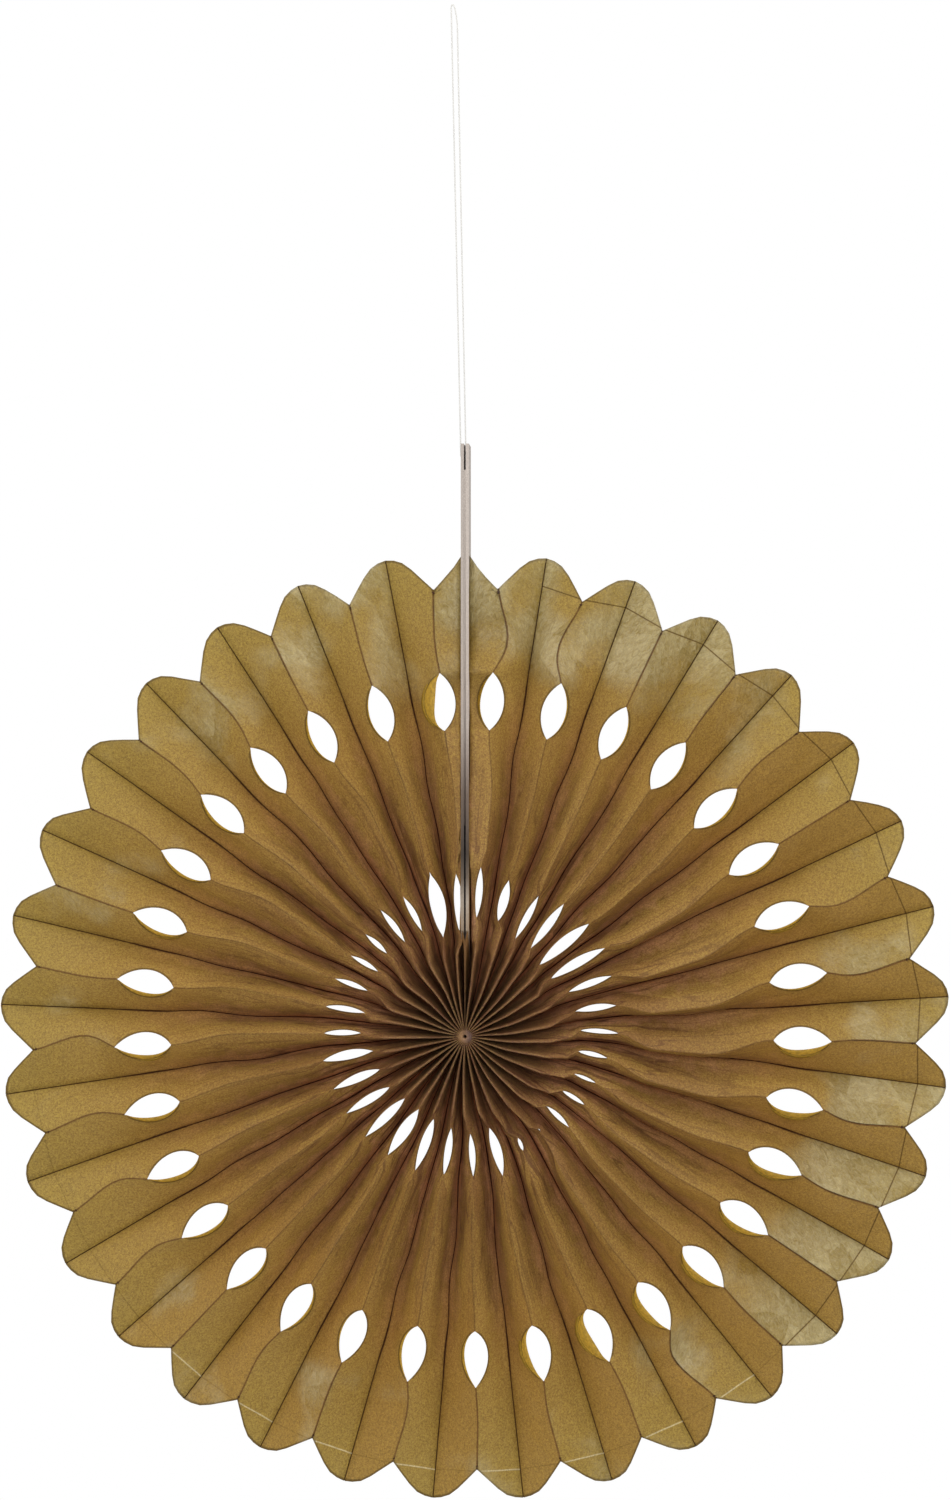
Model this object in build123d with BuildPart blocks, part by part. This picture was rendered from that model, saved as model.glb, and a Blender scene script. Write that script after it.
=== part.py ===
"""Hanging paper fan rosette: one accordion-folded tissue sheet, opened into a full circle.

The sheet is folded into petals, each of two panels that meet in a fold at the back. The folds at the front carry
the die-cut leaf holes. The first and the last panel are glued to two card strips, which stand side by side above
the hub, and a thread through a hole in one strip hangs the whole rosette.

The origin is the top of the thread's loop, Z points up, and the front of the rosette faces -Y.
"""
import os
from math import asin, atan2, cos, hypot, pi, radians, sin, sqrt, tan

from build123d import *

os.makedirs("parts", exist_ok=True)

# Tissue sheet, in millimetres
PETALS = 33
TIP_RADIUS = 203.2
PETAL_LENGTH = 14.2
PETAL_ROUNDING = 12.0
RIM_DEPTH = 6.5
PAPER_THICKNESS = 0.2

# Leaf holes, as they show from the front
OUTER_HOLE_START = 128.0
OUTER_HOLE_LENGTH = 24.5
OUTER_HOLE_WIDTH = 10.0
INNER_HOLE_START = 36.0
INNER_HOLE_LENGTH = 34.0
INNER_HOLE_WIDTH = 3.5

# Hub, where the inner ends of all the panels are bound together by a ring of thread
CORE_RADIUS = 3.5
EYE_RADIUS = 0.7
TIE_THICKNESS = 0.7
TIE_CLEARANCE = 0.1

# Card strips, cut on the slant at the hub
STRIP_THICKNESS = 1.3
STRIP_OVERHANG = 47.4
STRIP_START_BACK = 24.0
STRIP_START_FRONT = 45.0
THREAD_HOLE_DROP = 5.4
THREAD_HOLE_PLAY = 0.6

# Hanging thread
THREAD_THICKNESS = 0.6
THREAD_CLEARANCE = 0.1
THREAD_END_GAP = 0.2
LOOP_RISE = 186.0
LOOP_LEAN = 5.5
LOOP_SHOULDER_X = 1.9
LOOP_SHOULDER_DROP = 7.8
LOOP_SHOULDER_RADIUS = 50.0

# Worked out from the sizes above
PITCH = 360 / PETALS
HALF_PITCH = radians(PITCH / 2)
PLEAT_WIDTH = hypot(RIM_DEPTH, 2 * TIP_RADIUS * sin(HALF_PITCH / 2))
TIE_RADIUS = (EYE_RADIUS + CORE_RADIUS) / 2
STRIP_GAP = THREAD_THICKNESS + 2 * THREAD_CLEARANCE
STRIP_TOP = TIP_RADIUS + STRIP_OVERHANG
SLOT_HALF_WIDTH = STRIP_GAP / 2 + STRIP_THICKNESS
HUB_X = LOOP_LEAN
HUB_Z = -(STRIP_TOP + LOOP_RISE)

# Places along the petal where its section is drawn, from inside the core to past the tip
FOLD_STATIONS = [TIP_RADIUS * share for share in (0.04, 0.12, 0.3, 0.52, 0.74, 0.89)]


def pleat_height(distance):
    """Height from the back fold to the front fold, this far from the hub."""
    return sqrt(PLEAT_WIDTH**2 - (2 * distance * sin(HALF_PITCH / 2)) ** 2)


def petal_section(distance):
    """The two panels of a petal in section, with a fold at the back, both ending on the middle of a front fold."""
    reach = distance * tan(HALF_PITCH)
    height = pleat_height(distance)
    cut = height
    for _ in range(20):
        cut = PAPER_THICKNESS * sqrt(1 + ((height - cut) / reach) ** 2)
    front, back = height / 2, -height / 2
    return [
        (0, back),
        (reach, front - cut),
        (reach, front),
        (0, back + cut),
        (-reach, front),
        (-reach, front - cut),
    ]


def leaf(start, length, width):
    """A pointed leaf along the X axis, whose two sides are arcs."""
    with BuildSketch() as outline:
        with BuildLine():
            ThreePointArc((start, 0), (start + length / 2, width / 2), (start + length, 0))
            ThreePointArc((start + length, 0), (start + length / 2, -width / 2), (start, 0))
        make_face()
    return outline.sketch


def half_leaf_in_panel(start, length, width):
    """The same leaf as it lies in a flat panel of the folded sheet, centred on the front fold."""
    middle = start + length / 2
    with BuildSketch() as outline:
        with Locations((0, PLEAT_WIDTH - pleat_height(middle) / 2)):
            add(leaf(start, length, width * PLEAT_WIDTH / (middle * tan(HALF_PITCH))))
    return outline.sketch


def upright_plane(x):
    """A plane across the rosette at x from the hub: its X axis runs up from the hub, its Y axis to the front."""
    return Plane(origin=(HUB_X + x, 0, HUB_Z), x_dir=(0, 0, 1), z_dir=(1, 0, 0))


front_plane = Plane(origin=(HUB_X, 0, HUB_Z), x_dir=(1, 0, 0), z_dir=(0, -1, 0))

# One petal along the X axis: two folded panels, trimmed to the petal's end, with its halves of four leaf holes.
# The trimming outline is a corner between two notches, rounded so that its top is at the tip radius.
notch_radius = TIP_RADIUS - PETAL_LENGTH
notch_x = notch_radius * cos(HALF_PITCH)
notch_y = notch_radius * sin(HALF_PITCH)
rounding_x = TIP_RADIUS - PETAL_ROUNDING
notch_to_rounding = hypot(notch_y, rounding_x - notch_x)
side_angle = atan2(notch_y, rounding_x - notch_x) - asin(PETAL_ROUNDING / notch_to_rounding)
corner_x = rounding_x + PETAL_ROUNDING / sin(side_angle)

with BuildPart() as petal:
    for station in [CORE_RADIUS * 0.7, *FOLD_STATIONS, corner_x]:
        with BuildSketch(Plane(origin=(station, 0, 0), x_dir=(0, 1, 0), z_dir=(1, 0, 0))):
            with BuildLine():
                Polyline(*petal_section(station), close=True)
            make_face()
    loft(ruled=True)
    with BuildSketch() as petal_outline:
        with BuildLine():
            Polyline((0, 0), (notch_x, notch_y), (corner_x, 0), (notch_x, -notch_y), close=True)
        make_face()
        fillet(petal_outline.vertices().sort_by(Axis.X)[-1], PETAL_ROUNDING)
    extrude(amount=PLEAT_WIDTH, both=True, mode=Mode.INTERSECT)
    with BuildSketch():
        with PolarLocations(0, 2, start_angle=-PITCH / 2, angular_range=2 * PITCH):
            add(leaf(OUTER_HOLE_START, OUTER_HOLE_LENGTH, OUTER_HOLE_WIDTH))
            add(leaf(INNER_HOLE_START, INNER_HOLE_LENGTH, INNER_HOLE_WIDTH))
    extrude(amount=PLEAT_WIDTH, both=True, mode=Mode.SUBTRACT)

# Side of a card strip, as deep as the pleats
with BuildSketch() as strip_side:
    with BuildLine():
        Polyline(
            (STRIP_START_BACK, -PLEAT_WIDTH / 2),
            (STRIP_TOP, -PLEAT_WIDTH / 2),
            (STRIP_TOP, PLEAT_WIDTH / 2),
            (STRIP_START_FRONT, PLEAT_WIDTH / 2),
            close=True,
        )
    make_face()

# The end panel that is glued flat on a strip: from the back fold forwards, cut as the other panels are
with BuildSketch() as glued_side:
    with BuildLine():
        back_fold = [(distance, -pleat_height(distance) / 2) for distance in [0, *FOLD_STATIONS, TIP_RADIUS]]
        Polyline(
            *back_fold,
            (notch_radius, PLEAT_WIDTH - pleat_height(notch_radius) / 2),
            (0, PLEAT_WIDTH / 2),
            close=True,
        )
    make_face()
    add(strip_side.sketch, mode=Mode.INTERSECT)
    add(half_leaf_in_panel(OUTER_HOLE_START, OUTER_HOLE_LENGTH, OUTER_HOLE_WIDTH), mode=Mode.SUBTRACT)
    add(half_leaf_in_panel(INNER_HOLE_START, INNER_HOLE_LENGTH, INNER_HOLE_WIDTH), mode=Mode.SUBTRACT)

# Tissue fan: all the petals round the core, parted above the hub for the strips, with a glued panel on each side
with BuildPart(front_plane) as tissue_fan:
    with PolarLocations(0, PETALS, start_angle=90):
        add(petal.part)
    Cylinder(CORE_RADIUS, PLEAT_WIDTH)
    with BuildSketch(upright_plane(-SLOT_HALF_WIDTH)):
        add(strip_side.sketch)
    extrude(amount=2 * SLOT_HALF_WIDTH, mode=Mode.SUBTRACT)
    with BuildSketch(upright_plane(SLOT_HALF_WIDTH), upright_plane(-SLOT_HALF_WIDTH - PAPER_THICKNESS)):
        add(glued_side.sketch)
    extrude(amount=PAPER_THICKNESS)
    Hole(EYE_RADIUS)
    Torus(TIE_RADIUS, TIE_THICKNESS / 2 + TIE_CLEARANCE, mode=Mode.SUBTRACT)

tissue_fan.part.label = "tissue_fan"
export_step(tissue_fan.part, "parts/tissue_fan.step")

# Left card strip, with the punched hole for the thread across its flat sides
with BuildPart() as card_strip_left:
    with BuildSketch(upright_plane(-SLOT_HALF_WIDTH)):
        add(strip_side.sketch)
        with Locations((STRIP_TOP - THREAD_HOLE_DROP, 0)):
            Circle(THREAD_THICKNESS / 2 + THREAD_HOLE_PLAY, mode=Mode.SUBTRACT)
    extrude(amount=STRIP_THICKNESS)

card_strip_left.part.label = "card_strip_left"
export_step(card_strip_left.part, "parts/card_strip_left.step")

# Right card strip
with BuildPart() as card_strip_right:
    with BuildSketch(upright_plane(STRIP_GAP / 2)):
        add(strip_side.sketch)
    extrude(amount=STRIP_THICKNESS)

card_strip_right.part.label = "card_strip_right"
export_step(card_strip_right.part, "parts/card_strip_right.step")

# Centre tie: the ring of thread through the inner ends of all the panels
with BuildPart(front_plane) as centre_tie:
    Torus(TIE_RADIUS, TIE_THICKNESS / 2)

centre_tie.part.label = "centre_tie"
export_step(centre_tie.part, "parts/centre_tie.step")

# Hanging thread: out of the strip's hole, up its outer side, over the top of the loop and down between the strips
hole_x = HUB_X - (STRIP_GAP + STRIP_THICKNESS) / 2
hole_z = HUB_Z + STRIP_TOP - THREAD_HOLE_DROP
outer_strand_x = HUB_X - SLOT_HALF_WIDTH - THREAD_THICKNESS / 2 - THREAD_CLEARANCE
bend_radius = THREAD_THICKNESS
loop_half_width = bend_radius + THREAD_CLEARANCE
thread_route = [
    (hole_x - THREAD_END_GAP / 2, 0, hole_z),
    (outer_strand_x, 0, hole_z),
    (-loop_half_width, 0, -THREAD_THICKNESS / 2),
    (loop_half_width, 0, -THREAD_THICKNESS / 2),
    (LOOP_SHOULDER_X, 0, -LOOP_SHOULDER_DROP),
    (HUB_X + THREAD_CLEARANCE / 2, 0, hole_z),
    (hole_x + THREAD_END_GAP / 2, 0, hole_z),
]
thread_radii = [bend_radius, bend_radius, bend_radius, LOOP_SHOULDER_RADIUS, bend_radius]

with BuildPart() as hanging_thread:
    with BuildLine() as thread_line:
        FilletPolyline(*thread_route, radius=thread_radii)
    with BuildSketch(Plane(origin=thread_line.line @ 0, z_dir=thread_line.line % 0)):
        Circle(THREAD_THICKNESS / 2)
    sweep()

hanging_thread.part.label = "hanging_thread"
export_step(hanging_thread.part, "parts/hanging_thread.step")

thread_length = thread_line.wire().length
volume_share = hanging_thread.part.volume / (pi * (THREAD_THICKNESS / 2) ** 2 * thread_length)
print("thread length", round(thread_length, 1), "radii", thread_radii, "volume share", round(volume_share, 4))
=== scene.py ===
"""Looks of a hanging fan rosette of folded tissue, on two card strips with a thread loop.

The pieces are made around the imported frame, in its metres: Z is up and the front faces -Y.
"""
import math
from functools import partial

import bmesh
import bpy
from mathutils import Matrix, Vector, noise


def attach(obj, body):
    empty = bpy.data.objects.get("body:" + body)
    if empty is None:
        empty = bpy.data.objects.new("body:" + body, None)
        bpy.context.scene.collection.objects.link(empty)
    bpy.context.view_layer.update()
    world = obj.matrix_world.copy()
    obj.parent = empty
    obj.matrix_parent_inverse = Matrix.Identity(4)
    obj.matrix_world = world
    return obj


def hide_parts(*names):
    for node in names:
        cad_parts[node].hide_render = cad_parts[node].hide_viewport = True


bl_info = {
    "name": "Paper Fan Rosette",
    "version": (1, 0, 0),
    "blender": (4, 5, 0),
    "location": "3D View > Sidebar > Rosette",
    "description": "Makes a hanging rosette of folded tissue with leaf holes, card strips and a thread loop",
    "category": "Add Mesh",
}

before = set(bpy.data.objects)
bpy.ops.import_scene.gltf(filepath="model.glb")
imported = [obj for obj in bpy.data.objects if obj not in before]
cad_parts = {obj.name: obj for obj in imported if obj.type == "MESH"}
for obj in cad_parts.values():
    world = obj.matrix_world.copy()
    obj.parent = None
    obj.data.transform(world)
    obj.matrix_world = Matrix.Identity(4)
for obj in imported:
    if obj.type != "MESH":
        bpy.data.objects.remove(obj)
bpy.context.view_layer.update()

MM = 0.001
HUB = Vector((5.5, 0, -436.6)) * MM

# The fan as it was cut and folded, in millimetres; a hole is its start from the hub, its length and width
PETALS = 33
TIP_RADIUS = 203.2
PETAL_LENGTH = 14.2
PETAL_ROUNDING = 12.0
RIM_DEPTH = 6.5
OUTER_HOLE = (128.0, 24.5, 10.0)
INNER_HOLE = (36.0, 34.0, 3.5)
HALF_PITCH = math.radians(180 / PETALS)
PLEAT_WIDTH = math.hypot(RIM_DEPTH, 2 * TIP_RADIUS * math.sin(HALF_PITCH / 2))
NOTCH_RADIUS = TIP_RADIUS - PETAL_LENGTH

# The real sheet is about 0.03 mm thick; this much keeps its faces apart in the render
PAPER = 0.1 * MM

# Beside the strips: how far their glued faces stand from the middle, where their slanted ends start and end,
# how far up the sheet's back and front edges come to lie there, and what share of the next panel leans
STRIP_FACE = 1.75
STRIP_SLANT = (38, 47)
BACK_ON_STRIP = 24
FRONT_ON_STRIP = 45
KNEE = 0.63

# How it hangs: the rim's centre stands a little off the hub, and the strips take the room at the top
RIM_SHIFT = (2.5, 2.0)
FIRST_FOLD = 3.5
FOLD_STEP = 10.985

# Grid of the flat sheet: panels side by side, rows along the folds and columns across a panel
PANELS = 2 * PETALS + 2
GLUED_PANELS = (0, PANELS - 1)
LEANING_PANELS = (1, PANELS - 2)
COLUMN_PLACES = (0.0, 0.5, 1.7, 5.2, 9.0, 12.8, 16.6, 19.5, 20.4)
COLUMNS = len(COLUMN_PLACES) - 1
ROW_PLACES = (
    [2.6, 5, 8, 12, 16, 20, 24, 27, 30, 32, 34]
    + [INNER_HOLE[0] + INNER_HOLE[1] * step / 20 for step in range(21)]
    + [73, 77, 82, 87, 92, 97, 102, 107, 112, 117, 121, 125]
    + [OUTER_HOLE[0] + OUTER_HOLE[1] * step / 16 for step in range(17)]
    + [155, 158, 161, 164, 168, 172, 176, 180, 184, 187]
)
END_ROWS = 10
ROWS = len(ROW_PLACES) + END_ROWS - 1

# Millimetres of sheet to one unit of its UV maps
UV_SIZE = 100.0

# How each front fold leans from its even place, clockwise from the top, in degrees, clockwise positive
LEAN_AT_CORE = (2.5, 6, 5.5, 6.5, 4.5, 5.5, 6.5, 6.5, 6, 6, 6.5, 6.5, 6, 6, 5, 3, 3.5,
                0.5, 2, 1, 1.5, 1, 1.5, 1.5, 0.5, 2, 0.5, 0.5, 1.5, 3.5, 3, -0.5, -3.5)
LEAN_AT_KINK = (1.5, 4, 3.5, 3.5, 2.5, 3, 3, 4.5, 4, 4, 4.5, 5.5, 5, 4.5, 5, 3.5, 3.5,
                1, 2, 1.5, 1.5, 1, 1.5, 1, 0, 0.5, -2, -1.5, -2.5, -0.5, -1.5, -1.5, -3)
LEAN_AT_SLIT = (1, 3, 2.5, 1.5, 1, -2, -0.5, 0.5, 1.5, 2, 2.5, 3, 3, 2.5, 2.5, 1.5, 2,
                1, 2.5, 1.5, 1.5, 0.5, 1, 1, -0.5, -1, 2.5, 3, 2, 1.5, 2.5, 0, 1)
LEAN_BETWEEN = (1.5, 0.5, 0.5, 0.5, 1, 2, 3, 3.5, 4, 3, 1.5, 1, 1, 1, 0.5, 0.5, 0.5,
                0.5, 0.5, 0, 0, 0.5, 1, 1.5, 2, 2, 2, 2.5, 1.5, 1.5, 2.5, 1, 1)
BOW_AT_RIM = (1.8, -1.7, 0, -0.2, -0.6, 0, 1.5, 1.2, -0.3, 1.1, 0.7, 0, 0.3, 2.3, -0.3, 0.4, -0.2,
              -0.7, 0.3, 0.8, 0, 1.2, 1.5, 1.1, 1.7, -0.4, -0.1, 0.6, 0.6, 0.7, -0.1, -0.2, -0.4)

# How much of the rear ply shows inside each outer hole, positive on the clockwise panel
CRESCENTS = (-0.4, 0.2, 0.2, 0.2, 0.4, 0.4, 0.4, 0.3, 1, 0.9, 1, 0.9, 1.1, 1.2, 1.8, 1, 0.4,
             0.4, 0.2, -0.4, -0.4, -0.5, -0.7, -0.7, -0.7, -0.6, -0.6, -0.5, -0.5, -0.2, -0.4, -0.2, -1.7)

# How each inner hole shows: its two ends' lean in degrees, and its middle, length and width in millimetres
SLIT_INNER_LEAN = (-0.5, -0.5, 0.5, -0.5, -1.5, -2, -1.5, -1.5, -2, -2, -1, -1.5, -1, -1, -1, 0, 0.5,
                   0.5, 1, 1, 1, 1, 2, 2.5, 1.5, 1.5, 2, 2.5, 1.5, 1.5, 1, 0.5, -1)
SLIT_OUTER_LEAN = (0, -0.5, 1, -0.5, 0, -0.5, -1, -0.5, -0.5, -1, -0.5, -1, -0.5, -0.5, -0.5, -0.5, 0,
                   0.5, 0.5, 1.5, 1.5, 2, 1.5, 2, 1.5, 1, 1.5, 1.5, 1, 1, 0, 1.5, -0.5)
SLIT_MIDDLES = (59, 57, 54, 55.5, 54.5, 54, 54.5, 54, 54.5, 52.5, 52.5, 52, 52, 52, 53, 52.5, 53,
                52.5, 52, 51.5, 51.5, 52.5, 52.5, 53.5, 55, 54.5, 54.5, 53.5, 54.5, 55.5, 55.5, 55.5, 55)
SLIT_LENGTHS = (22, 18, 20, 23, 27, 26, 19, 17, 16.5, 13, 10, 12, 13, 2, 7, 22, 19,
                22, 25, 25, 25, 23, 23, 23, 17, 18, 15, 13.5, 12, 17, 16.5, 27, 24)
SLIT_WIDTHS = (3, 4.2, 3, 3.8, 5, 4.2, 3, 3, 2.1, 2.1, 1.5, 1.9, 2.2, 0.8, 1.7, 4.4, 2.8,
               3.2, 4.2, 5.3, 4.2, 3.8, 3.8, 4.2, 2.5, 2.5, 2.3, 2.2, 2.3, 2.7, 2.7, 6.7, 3.8)

# How much painted sheen, with crumples, the halves of the petals that face up and those that face down get,
# by degrees clockwise from the top, and where a half gets painted shade and light through the sheet
SHEEN_AND_CRUMPLES_FACING_UP = ((0, 0.62), (25, 0.72), (52, 0.25), (80, 0.42), (100, 0.85), (128, 0.85), (155, 0.35),
                 (175, 0.15), (290, 0.1), (345, 0.6))
SHEEN_AND_CRUMPLES_FACING_DOWN = ((5, 0.5), (25, 0.62), (50, 0), (240, 0), (285, 0.2), (345, 0.35))
LIT_THROUGH = ((22, 0), (50, 1), (215, 1), (250, 0))

# The lamps: name, place, width and height in metres, and power in watts
LAMPS = (
    ("front_softbox", (0.1, -1.45, -0.12), 0.7, 0.7, 11.0),
    ("overhead_softbox", (0.15, -0.45, 0.7), 1.8, 0.5, 8.0),
    ("right_softbox", (1.1, -0.45, 0.2), 0.6, 0.8, 3.2),
    ("left_softbox", (-1.05, -0.5, 0.0), 0.6, 0.8, 4.5),
    ("rear_softbox", (-0.3, 1.4, 0.2), 0.9, 0.9, 9.0),
)


def hex_to_linear(code):
    """A colour written as sRGB hex, in a shader's linear values. Anything else stays as it is."""
    if not isinstance(code, str):
        return code
    values = [int(code[i:i + 2], 16) / 255 for i in (1, 3, 5)]
    return tuple(v / 12.92 if v <= 0.04045 else ((v + 0.055) / 1.055) ** 2.4 for v in values) + (1.0,)


def ease(x, start, end):
    """A smooth step, from 0 at its start to 1 at its end."""
    share = min(1.0, max(0.0, (x - start) / (end - start)))
    return share * share * (3 - 2 * share)


def through(stations, x):
    """A smooth line through (place, value) stations."""
    if x <= stations[0][0]:
        return stations[0][1]
    for (x0, y0), (x1, y1) in zip(stations, stations[1:]):
        if x <= x1:
            return y0 + (y1 - y0) * ease(x, x0, x1)
    return stations[-1][1]


def in_frame(across, up, depth):
    """Place in the frame, in millimetres, of a point given from the hub."""
    return HUB.x / MM + across, -depth, HUB.z / MM + up


def pleat_height(radius):
    """Depth from the back fold to the front fold, this far from the hub."""
    return math.sqrt(PLEAT_WIDTH**2 - (2 * radius * math.sin(HALF_PITCH / 2)) ** 2)


def leaf_half_width(along, length, width):
    """Half the width of a leaf with arcs for sides, this far along it."""
    if not 0 < along < length:
        return 0.0
    arc = (length**2 / 4 + width**2 / 4) / width
    return math.sqrt(arc**2 - (along - length / 2) ** 2) - (arc - width / 2)


def petal_end(lateral):
    """How far out the petal's cut end lies, this far to the side of its middle fold."""
    notch_x, notch_y = NOTCH_RADIUS * math.cos(HALF_PITCH), NOTCH_RADIUS * math.sin(HALF_PITCH)
    centre = TIP_RADIUS - PETAL_ROUNDING
    reach = math.hypot(notch_y, centre - notch_x)
    side = math.atan2(notch_y, centre - notch_x) - math.asin(PETAL_ROUNDING / reach)
    if lateral < PETAL_ROUNDING * math.cos(side):
        return centre + math.sqrt(PETAL_ROUNDING**2 - lateral**2)
    return centre + PETAL_ROUNDING / math.sin(side) - lateral / math.tan(side)


def centre_shift(radius):
    """How far the rim's centre stands off the hub: nothing at the core, the whole shift past the slits."""
    share = ease(radius, 8, 60)
    return RIM_SHIFT[0] * share, RIM_SHIFT[1] * share


def front_lean(fold, radius):
    """How far a front fold stands off its even place, in degrees."""
    between = LEAN_BETWEEN[fold]
    slit_start = SLIT_MIDDLES[fold] - SLIT_LENGTHS[fold] / 2
    slit_end = SLIT_MIDDLES[fold] + SLIT_LENGTHS[fold] / 2
    start_lean, end_lean = SLIT_INNER_LEAN[fold], SLIT_OUTER_LEAN[fold]
    if slit_start < radius < slit_end:
        lean = start_lean + (end_lean - start_lean) * (radius - slit_start) / (slit_end - slit_start)
    else:
        lean = through(
            (
                (4, LEAN_AT_CORE[fold] * 0.8), (17, LEAN_AT_CORE[fold]),
                (min(33, slit_start - 7), LEAN_AT_KINK[fold]), (slit_start - 3, LEAN_AT_SLIT[fold]),
                (slit_start, start_lean), (slit_end, end_lean),
                (78, between), (100, between), (OUTER_HOLE[0], 0),
            ),
            radius,
        )
    bow_start = 153
    bowed = min(1, max(0, (NOTCH_RADIUS - radius) / (NOTCH_RADIUS - bow_start)))
    return lean + BOW_AT_RIM[fold] * math.sin(math.pi * bowed**1.5)


def back_lean(fold, radius):
    """How far the back fold clockwise of a front fold stands off its even place, in degrees."""
    beside = 0.5 * (front_lean(fold, radius) + front_lean(min(fold + 1, PETALS - 1), radius))
    # it wanders over lengths of 26 mm between the two rings of holes
    wander = (
        noise.noise(Vector((radius / 26, fold * 5.7, 3)))
        * ease(radius, 30, 60) * (1 - ease(radius, 100, 160))
    )
    return beside * 0.55 * (1 - ease(radius, 20, 50)) + 1.1 * wander


def polar(angle, radius):
    """Sideways and upward place of a point on the rosette, from the hub."""
    shift = centre_shift(radius)
    turned = math.radians(angle)
    return shift[0] + radius * math.sin(turned), shift[1] + radius * math.cos(turned)


def fold_point(fold, radius):
    """Place of a fold: sideways, up and towards the front. Even folds are at the front, odd ones behind."""
    height = pleat_height(min(radius, TIP_RADIUS))
    if fold in (0, PANELS):
        # the sheet's two ends nearly meet below the strips, and above they are glued on their faces, set back
        on_strip = ease(radius, *STRIP_SLANT)
        side = STRIP_FACE * on_strip + 0.06
        depth = PLEAT_WIDTH / 2 + 0.2 - 0.5 * on_strip
        return side if fold == 0 else -side, radius + centre_shift(radius)[1], depth
    if fold in (1, PANELS - 1):
        side = min(STRIP_FACE, STRIP_FACE * radius / BACK_ON_STRIP)
        return side if fold == 1 else -side, radius + centre_shift(radius)[1], -height / 2
    if fold % 2 == 0:
        number = fold // 2 - 1
        lean = front_lean(number, radius)
        across, up = polar(FIRST_FOLD + FOLD_STEP * number + lean, radius)
        span = 2 * radius * math.sin(HALF_PITCH / 2) + radius * abs(math.radians(lean)) * 0.6
        return across, up, math.sqrt(max(PLEAT_WIDTH**2 - span**2, 4)) - height / 2
    number = (fold - 3) // 2
    across, up = polar(FIRST_FOLD + FOLD_STEP * (number + 0.5) + back_lean(number, radius), radius)
    return across, up, -height / 2


def panel_folds(panel, radius):
    """Places of a panel's front fold and of its back fold."""
    front, back = (panel, panel + 1) if panel % 2 == 0 else (panel + 1, panel)
    return fold_point(front, radius), fold_point(back, radius)


def hole_at(radius):
    """The kind of hole that is cut this far from the hub, or None."""
    for hole in (OUTER_HOLE, INNER_HOLE):
        if hole[0] < radius < hole[0] + hole[1]:
            return hole
    return None


def hole_gap(panel, radius):
    """How far the lip stands off the front fold on this panel, and how deep it is cut, or None off a hole."""
    hole = hole_at(radius)
    if hole is None:
        return None
    start, length, width = hole
    cut_width = width * PLEAT_WIDTH / ((start + length / 2) * math.tan(HALF_PITCH))
    cut = leaf_half_width(radius - start, length, cut_width)
    if panel in GLUED_PANELS:
        return 0.0, cut if hole == OUTER_HOLE else 0.0
    number = (panel + panel % 2) // 2 - 1
    if hole == OUTER_HOLE:
        crescent = CRESCENTS[number] * (1 if panel % 2 == 0 else -1)
        return leaf_half_width(radius - start, length, width + 0.6 + 3.4 * max(0, crescent)), cut
    seen_length, seen_width = SLIT_LENGTHS[number], SLIT_WIDTHS[number]
    seen = leaf_half_width(radius - SLIT_MIDDLES[number] + seen_length / 2, seen_length, seen_width)
    # where the slit is shut its lips overlap a little
    return (seen if seen > 0.1 else -0.15), cut


def roundness(radius):
    """How round a pleat is from front fold to back fold: 0 is a straight fall, 1 a quarter ellipse."""
    stations = ((32, 0), (40, 0.4), (64, 0.44), (84, 0.34), (105, 0.22), (128, 0.12), (155, 0.05))
    return through(stations, radius)


def paper_swell(panel, radius, place, share, span, fall):
    """How far the paper stands off the line between its folds: it swells where slack and is never flat."""
    slack = max(0.0, PLEAT_WIDTH - math.hypot(span, fall))
    swell = 1.2 * math.sqrt(0.375 * span * slack) * share * (1 - share) * (1 - roundness(radius))
    # waves of 31 by 24 mm with ripples of 11 by 14 mm on them, and long streaks 4.5 mm apart
    wave = noise.noise(Vector((radius / 31, panel * 7.3, place / 24)))
    wave += 0.6 * noise.noise(Vector((radius / 11 + place / 9, panel * 3.1 + 50, place / 14)))
    swell += 0.9 * wave * math.sin(math.pi * share) * ease(radius, 0, 90)
    streak = noise.noise(Vector((radius / 38, panel * 11.9, place / 4.5)))
    swell += 1.2 * streak * math.sin(math.pi * share) * ease(radius, 34, 50) * (1 - ease(radius, 110, 160))
    return swell


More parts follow.
